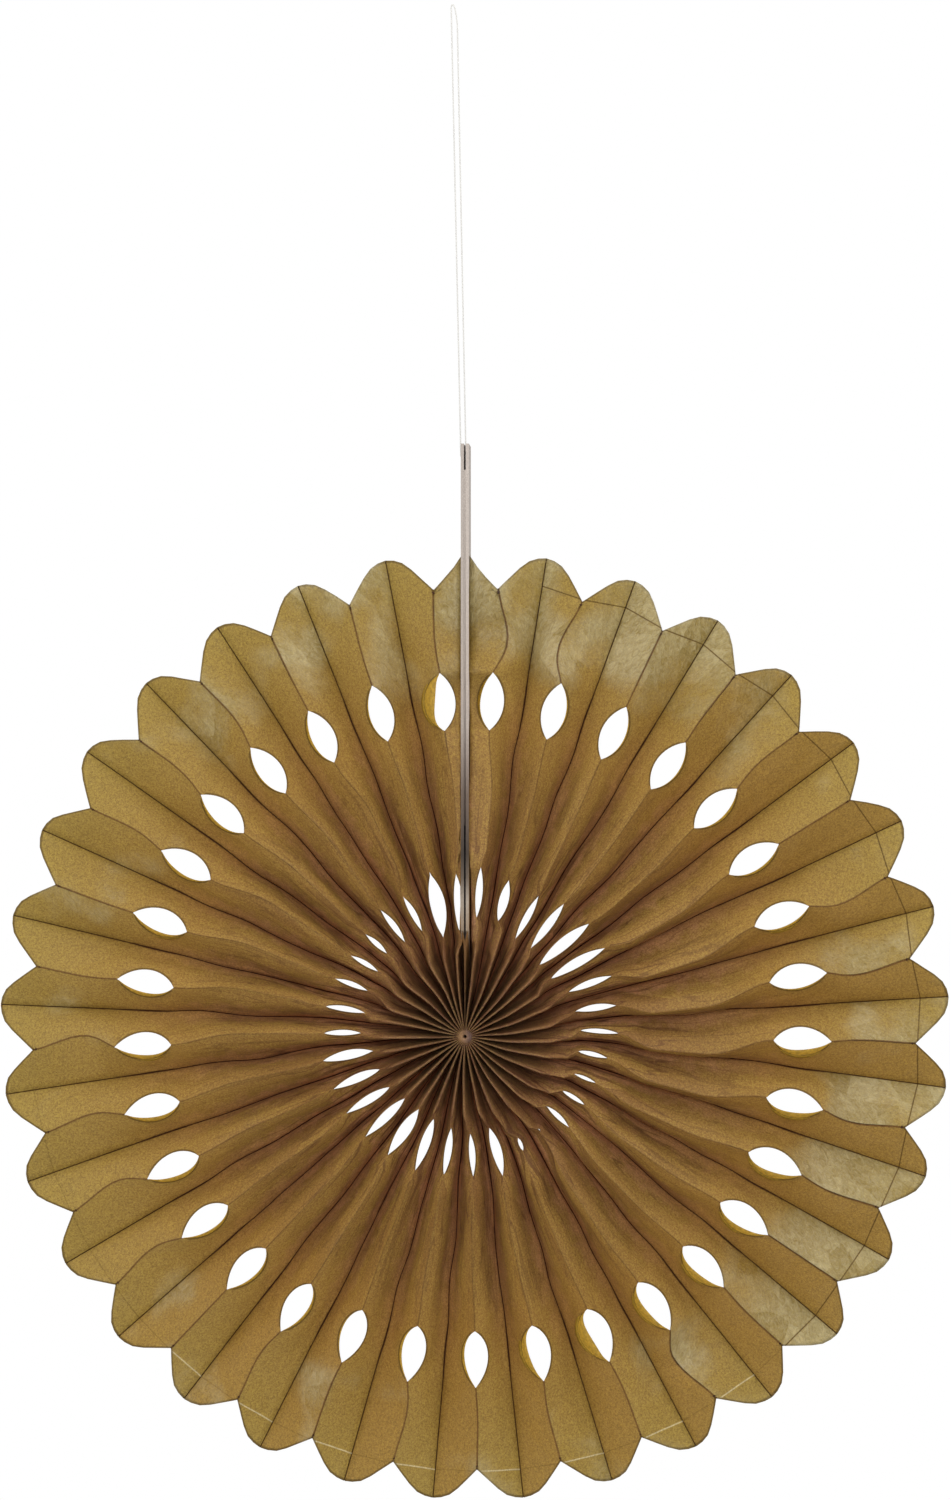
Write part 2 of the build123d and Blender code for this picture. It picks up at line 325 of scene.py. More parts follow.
def panel_point(panel, radius, column):
    """Place of a point of the folded sheet, in millimetres from the hub, and how far across its panel."""
    front, back = panel_folds(panel, radius)
    gap = hole_gap(panel, radius)
    opening, cut = gap or (0.0, 0.0)
    share = COLUMN_PLACES[column] / COLUMN_PLACES[-1]
    place = cut + (PLEAT_WIDTH - cut) * share
    fall = front[2] - back[2]
    if panel in GLUED_PANELS:
        # below the strips it slants over to its back fold, and it turns flat against the card on the way up
        down = place / PLEAT_WIDTH
        free = min(1.0, max(0.02, 1 - (radius - BACK_ON_STRIP) / (FRONT_ON_STRIP - BACK_ON_STRIP)))
        across = front[0] + (back[0] - front[0]) * min(1, down / free)
        return across, front[1], front[2] + (back[2] - front[2]) * down, place
    chord = (back[0] - front[0], back[1] - front[1])
    span = math.hypot(*chord)
    lip_depth = front[2] + (back[2] - front[2]) * cut / PLEAT_WIDTH

    # a straight fall, with the lips of a hole drawn to their opening, and a fold that is a little round
    natural = span * cut / PLEAT_WIDTH
    across = natural + (span - natural) * share
    if gap:
        across += (opening - natural) * math.exp(-(place - cut) / 5) * (1 - share)
    else:
        ridge = through(((30, 0.42), (70, 0.06)), radius)
        across += ridge * (1 - math.exp(-place / ridge)) * (1 - share)
    depth = lip_depth + (back[2] - lip_depth) * share

    # the same pleat as a quarter ellipse
    turn = share * math.pi / 2
    blend = roundness(radius)
    across += blend * (opening + (span - opening) * math.sin(turn) - across)
    depth += blend * (back[2] + (lip_depth - back[2]) * math.cos(turn) - depth)

    if panel in LEANING_PANELS:
        # beside the strips the sheet leans against the card and turns outward halfway
        knee_across = span - 0.5
        knee_depth = max(back[2], lip_depth + 0.05 * span)
        part = share / KNEE
        if part < 1:
            leaned_across = opening + (knee_across - opening) * part
            leaned_depth = lip_depth + (knee_depth - lip_depth) * part
        else:
            leaned_across = knee_across + 0.5 * (part - 1)
            leaned_depth = knee_depth + (back[2] - knee_depth) * (share - KNEE) / (1 - KNEE)
        leaning = ease(radius, 34, 42)
        across += leaning * (leaned_across - across)
        depth += leaning * (leaned_depth - depth)
    if opening < 0 and panel % 2 == 0:
        # the clockwise lip of a shut slit lies behind the other one
        depth -= 0.25

    swell = paper_swell(panel, radius, place, share, span, fall)
    steep = math.hypot(fall, span)
    across += swell * fall / steep
    depth += swell * span / steep
    if column == COLUMNS - 1 and panel not in LEANING_PANELS:
        # the back fold is pressed sharp, so the last column stands right in front of it
        across, depth = span - min(0.22, span * 0.3), back[2] + 0.95
    return front[0] + chord[0] / span * across, front[1] + chord[1] / span * across, depth, place


def row_radius(row, panel, column):
    """How far out a row of the sheet lies on this column. The last rows follow the petal's cut end."""
    if row < len(ROW_PLACES):
        return ROW_PLACES[row]
    share = COLUMN_PLACES[column] / COLUMN_PLACES[-1]
    if panel in GLUED_PANELS + LEANING_PANELS:
        # each half of the split petal comes to its tip at the knee, a little short of the others
        end = TIP_RADIUS - 1.5 - (TIP_RADIUS - NOTCH_RADIUS) * (1 - min(1, share / KNEE)) ** 0.9
    else:
        end = petal_end(NOTCH_RADIUS * math.sin(HALF_PITCH) * (1 - share))
    if row == ROWS:
        return end
    # the row before the cut edge runs 2 mm inside it
    last = ROW_PLACES[-1]
    return last + (end - 2 - last) * (row - len(ROW_PLACES) + 1) / (END_ROWS - 1)


def rim_point(panel, radius, reach):
    """Place in the frame of a point on the second ply's rim, this far in from the edge of an outer hole."""
    front, back = panel_folds(panel, radius)
    start, length, _ = OUTER_HOLE
    opening, cut = hole_gap(panel, min(max(radius, start + 0.02), start + length - 0.02))
    span = math.hypot(back[0] - front[0], back[1] - front[1])
    out = ((back[0] - front[0]) / span, (back[1] - front[1]) / span)
    lip_depth = front[2] + (back[2] - front[2]) * cut / PLEAT_WIDTH
    behind = 0.35 if reach < 0.5 else 0.9
    depth = lip_depth + (back[2] - front[2]) * reach / span - behind
    across = opening + reach
    return in_frame(front[0] + out[0] * across, front[1] + out[1] * across, depth)


def slit_sheet():
    """The flat sheet as a grid, slit along its front folds where the holes come.

    Each point keeps its row along the folds, its panel, and its column counted from the panel's front fold.
    """
    bm = bmesh.new()
    bmesh.ops.create_grid(bm, x_segments=ROWS, y_segments=PANELS * COLUMNS, size=0.5)
    row_layer = bm.verts.layers.int.new("row")
    column_layer = bm.verts.layers.int.new("column")
    panel_layer = bm.verts.layers.int.new("panel")
    for vert in bm.verts:
        vert[row_layer] = round((vert.co.x + 0.5) * ROWS)
        vert[column_layer] = round((vert.co.y + 0.5) * PANELS * COLUMNS)
    in_hole = [hole_at(radius) is not None for radius in ROW_PLACES] + [False] * END_ROWS
    slits = []
    for edge in bm.edges:
        a, b = edge.verts
        if a[column_layer] == b[column_layer] and a[column_layer] % (2 * COLUMNS) == 0:
            if in_hole[a[row_layer]] or in_hole[b[row_layer]]:
                slits.append(edge)
    bmesh.ops.split_edges(bm, edges=slits)
    for vert in bm.verts:
        # a point on a slit fold belongs to the panel that its faces lie in
        column = vert[column_layer]
        middle = sum(face.calc_center_median().y for face in vert.link_faces) / len(vert.link_faces)
        panel = min(PANELS - 1, column // COLUMNS)
        if column % COLUMNS == 0 and panel > 0 and middle < vert.co.y - 1e-9:
            panel = (column - 1) // COLUMNS
        from_left = column - panel * COLUMNS
        vert[panel_layer] = panel
        vert[column_layer] = COLUMNS - from_left if panel % 2 == 1 else from_left
    return bm


def cross_crease(panel, turn):
    """How strongly the crease across a petal shows on this panel: painted shade above 0 and painted highlight
    below it.

    It is strong on the fan's right, weak at its foot, a painted highlight on half the panels there, and gone
    at its left.
    """
    if panel % 2 == 1 and 134 < turn < 228:
        return -0.55
    if panel < 3 or turn > 262:
        return 0.0
    return 0.75 if turn < 132 else 0.25


def cut_edge(row, panel, column, radius):
    """1 on the sheet's cut end and on the lips of an open hole, less beside a lip, and 0 everywhere else."""
    if row == ROWS:
        return 1.0
    gap = hole_gap(panel, radius)
    if panel in GLUED_PANELS or gap is None or gap[0] <= 0.2:
        return 0.0
    return {0: 1.0, 1: 1.0, 2: 0.35}.get(column, 0.0)


def fold_sheet(bm):
    """Folds the flat sheet into the rosette, and notes on each point what the tissue's material reads there:
    crease, cut edge, painted sheen and painted light.
    """
    row_layer, column_layer, panel_layer = (bm.verts.layers.int[name] for name in ("row", "column", "panel"))
    crossed_layer = bm.verts.layers.float.new("crossed")
    cut_layer = bm.verts.layers.float.new("cut_edge")
    sheen_and_crumples_layer = bm.verts.layers.float.new("handled")
    backlit_layer = bm.verts.layers.float.new("backlit")
    on_sheet = {}
    for vert in bm.verts:
        row, column, panel = vert[row_layer], vert[column_layer], vert[panel_layer]
        turn = FOLD_STEP * (panel - 1) / 2
        faces_up = (panel % 2 == 1) == (turn < 180)
        radius = row_radius(row, panel, column)
        across, up, depth, place = panel_point(panel, radius, column)
        on_sheet[vert] = (radius, place)
        vert.co = in_frame(across, up, depth)
        vert[crossed_layer] = cross_crease(panel, turn)
        vert[cut_layer] = cut_edge(row, panel, column, radius)
        vert[sheen_and_crumples_layer] = through(SHEEN_AND_CRUMPLES_FACING_UP if faces_up else SHEEN_AND_CRUMPLES_FACING_DOWN, turn)
        vert[backlit_layer] = through(LIT_THROUGH, turn) if panel % 2 == 0 else 0.0

    # one map that is the same on each panel, and one that goes on from panel to panel
    sheet = bm.loops.layers.uv.new("sheet")
    whole = bm.loops.layers.uv.new("whole")
    for face in bm.faces:
        face.smooth = True
        for loop in face.loops:
            radius, place = on_sheet[loop.vert]
            loop[sheet].uv = (radius / UV_SIZE, place / UV_SIZE)
            loop[whole].uv = (radius / UV_SIZE, loop.vert[panel_layer] / 4 + place / UV_SIZE)

    # back folds are sharp, and front folds from the inner holes outward
    for edge in bm.edges:
        columns = {vert[column_layer] for vert in edge.verts}
        outside = min(on_sheet[vert][0] for vert in edge.verts) > INNER_HOLE[0]
        if columns == {COLUMNS} or columns == {0} and outside:
            edge.smooth = False
    bmesh.ops.reverse_faces(bm, faces=bm.faces)


def mesh_object(name, bm, materials):
    """Puts a bmesh in metres in the scene, as an object at the origin."""
    mesh = bpy.data.meshes.new(name)
    bm.to_mesh(mesh)
    bm.free()
    for made in materials:
        mesh.materials.append(made)
    thing = bpy.data.objects.new(name, mesh)
    bpy.context.scene.collection.objects.link(thing)
    return thing


def finish_piece(name, bm, materials):
    """Turns a bmesh in millimetres from the frame's origin into a piece that rides on the root body."""
    bmesh.ops.scale(bm, vec=(MM, MM, MM), verts=bm.verts)
    piece = mesh_object(name, bm, materials)
    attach(piece, "root")
    return piece


def stand_up(thing, place, direction):
    """Puts a camera or a lamp in the scene at a place, looking in a direction."""
    thing.location = place
    thing.rotation_euler = direction.to_track_quat("-Z", "Y").to_euler()
    bpy.context.scene.collection.objects.link(thing)


def add_node(owner, kind, inputs=None, stops=(), **settings):
    """Adds a shader node. inputs gives each socket's value, or the node or output that is linked to it, and
    stops gives the places and colours of a ramp, in order. A colour is written in hex.
    """
    made = owner.node_tree.nodes.new("ShaderNode" + kind)
    for name, value in settings.items():
        setattr(made, name, value)
    for name, value in (inputs or {}).items():
        if isinstance(value, bpy.types.Node):
            value = next(output for output in value.outputs if output.enabled)
        if isinstance(value, bpy.types.NodeSocket):
            owner.node_tree.links.new(value, made.inputs[name])
        else:
            made.inputs[name].default_value = hex_to_linear(value)
    if stops:
        ramp = made.color_ramp.elements
        ramp[0].position, ramp[1].position = stops[0][0], stops[-1][0]
        for place, _ in stops[1:-1]:
            ramp.new(place)
        for stop, (_, colour) in zip(ramp, stops):
            stop.color = hex_to_linear(colour)
    return made


def new_material(name):
    """An empty node material, and add_node for it."""
    material = bpy.data.materials.new(name)
    material.use_nodes = True
    material.node_tree.nodes.clear()
    return material, partial(add_node, material)


def mottled(node, colour, pattern, values, tones):
    """A colour made darker and lighter by a pattern: between two tones over two values of the pattern."""
    tone = node("MapRange", {"Value": pattern, "From Min": values[0], "From Max": values[1],
                             "To Min": tones[0], "To Max": tones[1]})
    return node("HueSaturation", {"Value": tone, "Color": colour})


def gold_with_painted_light(node, gold, radius, clumps, fibres):
    """The sheet's gold colour, with painted shade from gold at the petals to brown at the core."""
    # painted shade: brown towards the core, where the light has passed more plies
    outward = node("MapRange", {"Value": radius, "From Max": 205.0})
    shades = node("ValToRGB", {"Fac": outward}, stops=(
        (0.05, "#6E4E38"), (0.1, "#805B42"), (0.18, "#956947"), (0.27, "#9A733E"), (0.5, "#9A763D"),
        (0.62, "#A37E3F"), (0.8, "#9E7E3C"), (0.97, tuple(gold))))

    # olive specks where fibres clump, and brown spots where they are thin
    specks = node("MapRange", {"Value": clumps, "From Min": 0.42, "From Max": 0.68, "To Max": 0.4})
    specked = node("Mix", {0: specks, 6: shades, 7: "#A69444"}, data_type="RGBA")
    spots = node("MapRange", {"Value": fibres, "From Min": 0.5, "From Max": 0.36, "To Max": 0.22})
    spotted = node("Mix", {0: spots, 6: specked, 7: "#8A5A36"}, data_type="RGBA")

    # painted shade and light: halves that face the ground get part of their light through the sheet, so they
    # are painted darker and warmer
    backlit = node("Attribute", attribute_name="backlit").outputs["Fac"]
    spread = node("MapRange", {"Value": radius, "From Min": 60.0, "From Max": 130.0, "To Max": 0.42})
    warm = node("Math", {0: backlit, 1: spread}, operation="MULTIPLY")
    return node("Mix", {0: warm, 6: spotted, 7: "#986E2D"}, data_type="RGBA")


def crowded_pleats(node, golden, whole, radius, across, clouds):
    """The colour where the pleats crowd, in painted light and shade, which fades out towards the petals."""
    crowded = node("MapRange", {"Value": radius, "From Min": 30.0, "From Max": 165.0, "To Min": 0.8,
                                "To Max": 0.0}, interpolation_type="SMOOTHSTEP")

    # painted light: deep in a fold the light has passed several plies, so a warm colour is painted there,
    # which looks brown in the shade
    wander = node("MapRange", {"Value": clouds, "From Min": 0.3, "From Max": 0.7, "To Min": -3.5,
                               "To Max": 3.5})
    reach = node("Math", {0: across, 1: wander}, operation="ADD")
    deep = node("MapRange", {"Value": reach, "From Min": 8.0, "From Max": 20.0},
                interpolation_type="SMOOTHSTEP")
    weight = node("Math", {0: deep, 1: crowded}, operation="MULTIPLY")
    warmed = node("Mix", {0: weight, 6: golden, 7: "#E2A680"}, data_type="RGBA")

    # painted shade: dark areas with crisp edges, about 38 by 7 mm, where the pleats crowd
    warped_or_edge_shaded = node("VectorMath", {0: clouds.outputs["Color"], 1: (0.04, 0.01, 0.0), 2: whole},
                  operation="MULTIPLY_ADD")
    areas = node("VectorMath", {0: warped_or_edge_shaded, 1: (2.6, 14.0, 1.0)}, operation="MULTIPLY")
    area = node("SeparateColor", {0: node("TexVoronoi", {"Vector": areas, "Scale": 1.0}).outputs["Color"]})
    dark = node("MapRange", {"Value": area, "From Min": 0.4, "To Max": 0.75})
    shade_areas = node("Math", {0: dark, 1: crowded}, operation="MULTIPLY")
    pressed = node("Mix", {0: shade_areas, 6: warmed, 7: "#74482E"}, data_type="RGBA")

    # painted shade of thin creases that run along the folds, about 6 mm apart
    drawn = node("VectorMath", {0: whole, 1: (1.8, 17.0, 1.0)}, operation="MULTIPLY")
    contours = node("TexNoise", {"Vector": drawn, "Scale": 1.0, "Detail": 1.0})
    beside = node("Math", {0: contours, 1: 0.5}, operation="SUBTRACT")
    off = node("Math", {0: beside}, operation="ABSOLUTE")
    thin = node("MapRange", {"Value": off, "From Min": 0.006, "From Max": 0.024, "To Min": 0.9,
                             "To Max": 0.0})
    lines = node("Math", {0: thin, 1: crowded}, operation="MULTIPLY")
    return node("Mix", {0: lines, 6: pressed, 7: "#5E3826"}, data_type="RGBA")


def fold_line_shade(node, colour, radius, across):
    """Painted shade on the fold lines, where the sheet was pressed sharp. Gives the colour with it, and the
    lines alone.
    """
    shade_line = node("MapRange", {"Value": across, "From Min": 19.3, "From Max": 19.9, "To Max": 0.95})
    sharp = node("Mix", {0: shade_line, 6: colour, 7: "#4A281C"}, data_type="RGBA")
    near = node("MapRange", {"Value": across, "From Min": 0.15, "From Max": 0.55, "To Min": 0.8,
                             "To Max": 0.0})
    outward = node("MapRange", {"Value": radius, "From Min": 60.0, "From Max": 150.0, "To Min": 0.1})
    ridge = node("Math", {0: near, 1: outward}, operation="MULTIPLY")
    folded = node("Mix", {0: ridge, 6: sharp, 7: "#664020"}, data_type="RGBA")
    return folded, node("Math", {0: shade_line, 1: ridge}, operation="MAXIMUM")


def crease_lines(node, colour, radius, across):
    """The crease across most petals, from when the flat fan was pressed over its backing, in painted shade
    and highlight: gives the colour with it, and the line alone.
    """
    middle = node("Math", {0: across, 1: 0.12, 2: 188.9}, operation="MULTIPLY_ADD")
    beside = node("Math", {0: radius, 1: middle}, operation="SUBTRACT")
    off = node("Math", {0: beside}, operation="ABSOLUTE")
    line = node("MapRange", {"Value": off, "From Min": 0.12, "From Max": 0.42, "To Min": 1.0,
                             "To Max": 0.0})
    crossed = node("Attribute", attribute_name="crossed").outputs["Fac"]
    crease = node("Math", {0: line, 1: crossed}, operation="MULTIPLY")
    # painted highlight where the crease weight is below 0, painted shade where it is above
    crease_highlight = node("Math", {0: crease, 1: -1.0}, operation="MULTIPLY", use_clamp=True)
    shade_line = node("Math", {0: crease, 1: 1.0}, operation="MULTIPLY", use_clamp=True)
    dark = node("Mix", {0: shade_line, 6: colour, 7: "#4A3010"}, data_type="RGBA")
    creased = node("Mix", {0: crease_highlight, 6: dark, 7: "#E0D8B4"}, data_type="RGBA")
    return creased, node("Math", {0: crease}, operation="ABSOLUTE")


def crumple_patterns(node, whole, clouds):
    """Fine slanting crumples about 2 mm apart, and the flat facets of 24 by 13 mm between larger ones."""
    slanted = node("VectorRotate", {"Vector": whole, "Angle": math.radians(33)}, rotation_type="Z_AXIS")
    stretched = node("VectorMath", {0: slanted, 1: (30.0, 52.0, 1.0)}, operation="MULTIPLY")
    crumples = node("TexNoise", {"Vector": stretched, "Scale": 1.0, "Detail": 4.0, "Roughness": 0.7,
                                 "Distortion": 1.2})
    bent = node("VectorMath", {0: clouds.outputs["Color"], 1: (0.03, 0.03, 0.03), 2: slanted},
                operation="MULTIPLY_ADD")
    cells = node("VectorMath", {0: bent, 1: (4.2, 8.0, 1.0)}, operation="MULTIPLY")
    return crumples, node("TexVoronoi", {"Vector": cells, "Scale": 1.0})


def uneven_surface(node, place, grain, crumples, facets, handled):
    """The sheet's surface: waves of 18 mm, crumples and dents where the painted sheen is, and its grain."""
    soft = node("TexNoise", {"Vector": place, "Scale": 55.0, "Detail": 1.0})
    waves = node("Bump", {"Strength": 0.5, "Distance": 0.0022, "Height": soft})
    crumpling = node("Math", {0: crumples, 1: handled}, operation="MULTIPLY")
    crumpled = node("Bump", {"Strength": 0.7, "Distance": 0.0013, "Height": crumpling, "Normal": waves})
    denting = node("Math", {0: facets, 1: handled}, operation="MULTIPLY")
    dented = node("Bump", {"Strength": 0.8, "Distance": 0.0018, "Height": denting, "Normal": crumpled})
    return node("Bump", {"Strength": 0.35, "Distance": 0.00025, "Height": grain, "Normal": dented})


def silver_sheen(node, colour, shining, crumples, facets, lines):
    """The colour with a painted, streaky silver sheen where it shines, off the fold and crease lines."""
    facet = node("SeparateColor", {0: facets.outputs["Color"]})
    sheen_pattern = node("Math", {0: facet, 1: 0.24, 2: crumples}, operation="MULTIPLY_ADD")
    streak = node("MapRange", {"Value": sheen_pattern, "From Min": 0.39, "From Max": 0.88})
    sheen = node("Mix", {0: streak, 6: "#8C7B42", 7: "#D6CCA4"}, data_type="RGBA")
    unlined = node("Math", {0: 0.56, 1: lines}, operation="SUBTRACT", use_clamp=True)
    silver = node("Math", {0: shining, 1: unlined}, operation="MULTIPLY")
    return node("Mix", {0: silver, 6: colour, 7: sheen}, data_type="RGBA")


def gold_tissue(settings, rear=False):
    """Gold tissue paper: thin, dyed through and calendered, so it shines softly and glows when lit through.

    Where the pleats crowd, the light passes several plies and comes out brown, so painted shade takes the
    colour from gold at the petals to brown at the core, painted warm light lies deep in the folds that the
    eye looks down into, and the silver sheen is painted too.
    """
    material, node = new_material("Gold tissue paper, rear face" if rear else "Gold tissue paper")
    place = node("TexCoord").outputs["Object"]
    whole = node("UVMap", uv_map="whole").outputs["UV"]
    sheet = node("SeparateXYZ", {0: node("UVMap", uv_map="sheet").outputs["UV"]})
    radius = node("Math", {0: sheet.outputs["X"], 1: UV_SIZE}, operation="MULTIPLY")
    across = node("Math", {0: sheet.outputs["Y"], 1: UV_SIZE}, operation="MULTIPLY")
    if rear:
        across = node("Math", {0: PLEAT_WIDTH, 1: across}, operation="SUBTRACT")

    # clouds of fibre about 6 mm across, clumps 0.9 mm across, and single fibres 0.4 mm apart, which is drawn
    # coarser than the real ones so that they show
    clouds = node("TexNoise", {"Vector": place, "Scale": 170.0, "Detail": 3.0, "Roughness": 0.6})
    clumps = node("TexNoise", {"Vector": place, "Scale": 1100.0, "Detail": 3.0, "Roughness": 0.65})
    fibres = node("TexNoise", {"Vector": place, "Scale": 2800.0, "Detail": 2.0, "Roughness": 0.6})
    grain = node("Math", {0: clumps, 1: fibres}, operation="ADD")

    golden = gold_with_painted_light(node, settings.colour, radius, clumps, fibres)
    shaded = crowded_pleats(node, golden, whole, radius, across, clouds)
    folded, folds = fold_line_shade(node, shaded, radius, across)
    creased, creases = crease_lines(node, folded, radius, across)
    grained = mottled(node, creased, grain, (0.75, 1.25), (0.7, 1.3))

    # painted shade: a dark line on the cut edges, which lie in shadow
    edge = node("Attribute", attribute_name="cut_edge").outputs["Fac"]
    edge_shade = node("MapRange", {"Value": edge, "From Min": 0.35, "From Max": 0.65, "To Max": 0.65})
    warped_or_edge_shaded = node("Mix", {0: edge_shade, 6: grained, 7: "#553E14"}, data_type="RGBA")

    # painted sheen: patches about 36 mm across on the petals, by how each half faces, where the sheet shines
    # silver
    patches = node("TexNoise", {"Vector": place, "Scale": 28.0, "Detail": 2.0})
    petals = node("MapRange", {"Value": radius, "From Min": 132.0, "From Max": 165.0},
                  interpolation_type="SMOOTHSTEP")
    sheen_by_facing = node("Attribute", attribute_name="handled").outputs["Fac"]
    sheen_on_petals = node("Math", {0: sheen_by_facing, 1: petals}, operation="MULTIPLY")
    patchy = node("Math", {0: sheen_on_petals, 1: 0.4, 2: patches}, operation="MULTIPLY_ADD")
    handled = node("MapRange", {"Value": patchy, "From Min": 0.6, "From Max": 0.86, "To Min": 0.06},
                   interpolation_type="SMOOTHSTEP")
    shining = node("Math", {0: handled, 1: petals}, operation="MULTIPLY")
    crumples, facets = crumple_patterns(node, whole, clouds)
    uneven = uneven_surface(node, place, grain, crumples, facets, handled)
    lines = node("Math", {0: creases, 1: folds}, operation="MAXIMUM")
    colour = silver_sheen(node, warped_or_edge_shaded, shining, crumples, facets, lines)

    rough = node("MapRange", {"Value": clumps, "From Min": 0.35, "From Max": 0.65, "To Min": 0.45,
                              "To Max": 0.6})
    shine = node("MapRange", {"Value": handled, "To Max": 0.55})
    front = node("BsdfPrincipled", {
        "Base Color": colour, "Roughness": rough, "Specular IOR Level": 0.2, "Coat Weight": shine,
        "Coat Roughness": 0.38, "Normal": uneven})
    glow = node("BsdfTranslucent", {"Color": colour, "Normal": uneven})
    node("OutputMaterial", {"Surface": node("MixShader", {0: 0.4, 1: front, 2: glow})})
    return material


def gathered_tissue():
    """Tissue gathered and twisted at the core: golden on one side of the eye and maroon on the other, in
    painted shade.
    """
    material, node = new_material("Gold tissue paper, gathered")
    place = node("TexCoord").outputs["Object"]
    sideways = node("SeparateXYZ", {0: place}).outputs["X"]
    # painted shade: golden on the left, darker maroon on the right
    side = node("MapRange", {"Value": sideways, "From Min": HUB.x - 2 * MM, "From Max": HUB.x + 2 * MM})
    colour = node("Mix", {0: side, 6: "#7E5C36", 7: "#553B30"}, data_type="RGBA")

    # clumps of fibre 1.1 mm across
    clumps = node("TexNoise", {"Vector": place, "Scale": 900.0, "Detail": 3.0, "Roughness": 0.7})
    fibrous = mottled(node, colour, clumps, (0.35, 0.65), (0.8, 1.15))
    node("OutputMaterial", {"Surface": node("BsdfPrincipled", {"Base Color": fibrous, "Roughness": 0.6})})
    return material


def single_ply_tissue():
    """One ply of gold tissue with light behind it, painted brighter and yellower than the pleats for that
    light, and fuzzy.
    """
    material, node = new_material("Gold tissue paper, single ply")
    place = node("TexCoord").outputs["Object"]

    # clumps of fibre 1.4 mm across
    clumps = node("TexNoise", {"Vector": place, "Scale": 700.0, "Detail": 4.0, "Roughness": 0.7})
    colour = mottled(node, "#B8942E", clumps, (0.35, 0.65), (0.7, 1.2))
    bump = node("Bump", {"Strength": 0.5, "Distance": 0.0004, "Height": clumps})
    front = node("BsdfPrincipled", {"Base Color": colour, "Roughness": 0.6, "Normal": bump})
    glow = node("BsdfTranslucent", {"Color": colour})
    node("OutputMaterial", {"Surface": node("MixShader", {0: 0.4, 1: front, 2: glow})})
    return material


def greyboard(brightness):
    """Greyboard, pressed from recycled fibre: matt, grey and faintly speckled."""
    material, node = new_material("Greyboard")
    place = node("TexCoord").outputs["Object"]

    # specks of fibre 0.7 mm across
    specks = node("TexNoise", {"Vector": place, "Scale": 1400.0, "Detail": 4.0, "Roughness": 0.7})

    # painted shade and light along the strip, up from the hub: dark between the pleats, and pale where it
    # stands free
    height = node("SeparateXYZ", {0: place}).outputs["Z"]
    along = node("MapRange", {"Value": height, "From Min": HUB.z, "From Max": HUB.z + 250 * MM})
    shades = node("ValToRGB", {"Fac": along}, stops=(
        (0.15, "#5A4632"), (0.19, "#867460"), (0.23, "#928678"), (0.27, "#564A3E"), (0.31, "#32281F"),
        (0.41, "#5E5046"), (0.47, "#80736A"), (0.53, "#9C9188"), (0.62, "#A4988E"), (0.9, "#A89E96")))
    colour = mottled(node, shades, specks, (0.3, 0.7), (0.85 * brightness, 1.1 * brightness))
    bump = node("Bump", {"Strength": 0.3, "Distance": 0.0001, "Height": specks})
    shader = node("BsdfPrincipled", {"Base Color": colour, "Roughness": 0.9, "Normal": bump})
    node("OutputMaterial", {"Surface": shader})
    return material


def cotton_thread():
    """White cotton thread, spun and twisted: matt, with a light grey and fine dark turns that are painted
    shade.
    """
    material, node = new_material("White cotton thread")
    place = node("TexCoord").outputs["Object"]

    # painted shade in the twist's grooves: a turn every 1.3 mm, coarser than the real one so that it shows
    twist = node("TexWave", {"Vector": place, "Scale": 500.0, "Distortion": 2.0, "Detail": 1.0},
                 bands_direction="DIAGONAL")
    colour = mottled(node, "#C2C0BC", twist.outputs["Fac"], (0, 1), (0.88, 1))
    node("OutputMaterial", {"Surface": node("BsdfPrincipled", {"Base Color": colour, "Roughness": 0.85})})
    return material


def white_paint():
    """Matt white paint, rolled on the floor: near white and without gloss, so only soft shade shows on it."""
    material, node = new_material("Matt white paint")
    node("OutputMaterial", {"Surface": node("BsdfPrincipled", {"Base Color": "#F2F2F0", "Roughness": 0.9})})
    return material


class TissueSettings(bpy.types.PropertyGroup):
    """Colours of the folded tissue."""

    colour: bpy.props.FloatVectorProperty(
        name="Tissue colour", description="Colour of the gold tissue at the petals", subtype="COLOR", size=4,
        min=0, max=1, default=hex_to_linear("#9E8440"))


class ThreadSettings(bpy.types.PropertyGroup):
    """Size of the hanging thread."""

    thickness: bpy.props.FloatProperty(
        name="Thickness", description="Thickness of the white thread", default=0.6 * MM, min=0.3 * MM,
        subtype="DISTANCE", unit="LENGTH")


